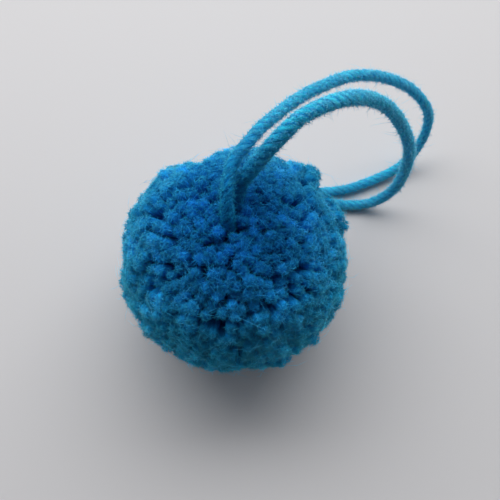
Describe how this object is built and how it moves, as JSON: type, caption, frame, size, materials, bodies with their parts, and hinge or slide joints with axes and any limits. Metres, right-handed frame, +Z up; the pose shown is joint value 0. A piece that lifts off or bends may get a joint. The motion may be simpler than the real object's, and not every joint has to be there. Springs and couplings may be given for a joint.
{
  "type": "yarn pom pom with free tie ends",
  "caption": "Round cut-yarn pom pom, trimmed by hand, with the two free ends of its tie arching out of the top.",
  "frame": {"origin": "on the surface the ball rests on, under the ball's centre, at its small flat spot", "axes": "+Z up through the ball's centre and out of the tie's parting, the tie ends arching out towards +X and +Y"},
  "size_m": [0.0937, 0.084, 0.0768],
  "materials": {
    "pile_yarn": "matt dyed wool, cut ends",
    "tie_yarn": "matt dyed wool, plied yarn"
  },
  "bodies": {
    "root": {"pompom_ball": "pile_yarn", "tie_end_back": "tie_yarn", "tie_end_front": "tie_yarn"}
  },
  "joints": []
}
